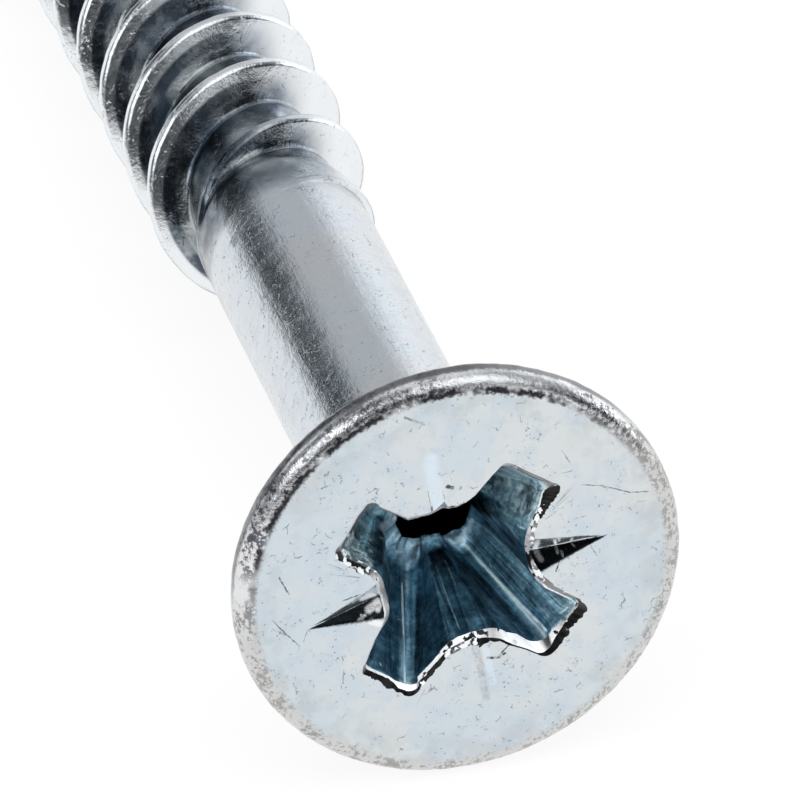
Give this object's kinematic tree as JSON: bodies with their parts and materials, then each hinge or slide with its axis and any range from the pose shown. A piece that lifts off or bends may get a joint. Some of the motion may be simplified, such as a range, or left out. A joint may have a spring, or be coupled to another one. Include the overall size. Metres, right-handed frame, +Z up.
{
  "type": "countersunk wood screw",
  "caption": "Countersunk wood screw with a flat head, a cross drive recess, a smooth shank and a coarse twin-start thread with a gimlet point.",
  "frame": {"origin": "middle of the bounding box at its bottom, on the surface that the screw lies on", "axes": "+Y roughly along the screw from the head to the tip, +Z up, +X to the right seen from the head; the axis of the screw leans 4.29 degrees down towards the tip"},
  "size_m": [0.008, 0.0322, 0.008],
  "materials": {
    "zinc_steel": "bright pale blue-grey zinc plating over steel, mottled and slightly scratched"
  },
  "bodies": {
    "root": {"screw": "zinc_steel"}
  },
  "joints": []
}
